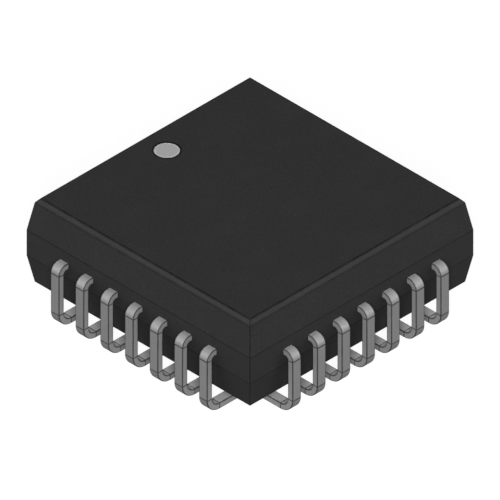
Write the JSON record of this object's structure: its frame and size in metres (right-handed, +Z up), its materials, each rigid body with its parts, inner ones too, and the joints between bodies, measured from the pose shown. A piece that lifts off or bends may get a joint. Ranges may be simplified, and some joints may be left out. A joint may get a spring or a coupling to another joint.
{
  "type": "plcc chip",
  "caption": "Square plastic leaded chip carrier: a moulded block with drafted sides and a pin 1 dot, with J-shaped leads that curl under it on every side.",
  "frame": {"origin": "middle of the package on the plane of the solder feet", "axes": "+Z up out of the moulding's top face; +Y towards the side with the pin 1 dot; pins run counter-clockwise seen from above"},
  "size_m": [0.0124, 0.0124, 0.0046],
  "materials": {
    "mould_compound": "matte",
    "dot_ink": "matte",
    "lead_plating": "satin",
    "paddle_copper": "satin",
    "silver_epoxy": "matte",
    "silicon": "gloss",
    "gold_wire": "gloss"
  },
  "bodies": {
    "root": {"moulded_body": "mould_compound", "pin_1_dot": "dot_ink", "lead_01": "lead_plating", "lead_02": "lead_plating", "lead_03": "lead_plating", "lead_04": "lead_plating", "lead_05": "lead_plating", "lead_06": "lead_plating", "lead_07": "lead_plating", "lead_08": "lead_plating", "lead_09": "lead_plating", "lead_10": "lead_plating", "lead_11": "lead_plating", "lead_12": "lead_plating", "lead_13": "lead_plating", "lead_14": "lead_plating", "lead_15": "lead_plating", "lead_16": "lead_plating", "lead_17": "lead_plating", "lead_18": "lead_plating", "lead_19": "lead_plating", "lead_20": "lead_plating", "lead_21": "lead_plating", "lead_22": "lead_plating", "lead_23": "lead_plating", "lead_24": "lead_plating", "lead_25": "lead_plating", "lead_26": "lead_plating", "lead_27": "lead_plating", "lead_28": "lead_plating", "die_paddle": "paddle_copper", "die_attach": "silver_epoxy", "silicon_die": "silicon", "bond_wires_pin_01_side": "gold_wire", "bond_wires_pin_08_side": "gold_wire", "bond_wires_pin_15_side": "gold_wire", "bond_wires_pin_22_side": "gold_wire"}
  },
  "joints": []
}
